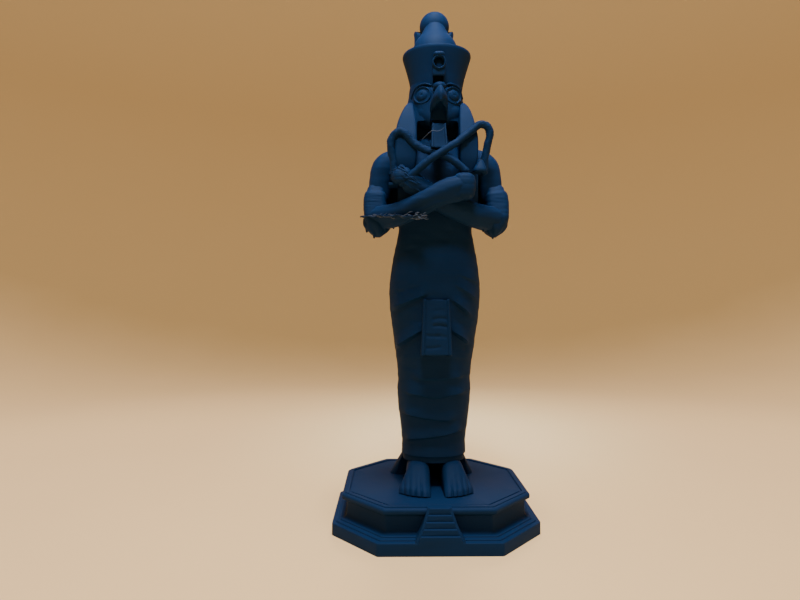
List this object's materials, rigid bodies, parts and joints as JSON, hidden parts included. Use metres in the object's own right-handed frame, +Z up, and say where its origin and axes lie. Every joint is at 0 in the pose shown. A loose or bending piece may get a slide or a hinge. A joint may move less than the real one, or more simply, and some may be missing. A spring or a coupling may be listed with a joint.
{
  "type": "falcon-headed mummiform figurine",
  "caption": "Small printed plastic statuette of a wrapped, falcon-headed figure with crossed arms, crook staffs and a tall double crown, standing on an octagonal stepped plinth.",
  "frame": {"origin": "middle of the plinth's underside", "axes": "+Z up, the figure looks towards -Y, +X is the viewer's right as it faces the viewer"},
  "size_m": [0.069, 0.0688, 0.1829],
  "materials": {
    "plastic": "dark blue PLA print with a soft sheen and fine layer lines"
  },
  "bodies": {
    "root": {"figurine": "plastic"}
  },
  "joints": []
}
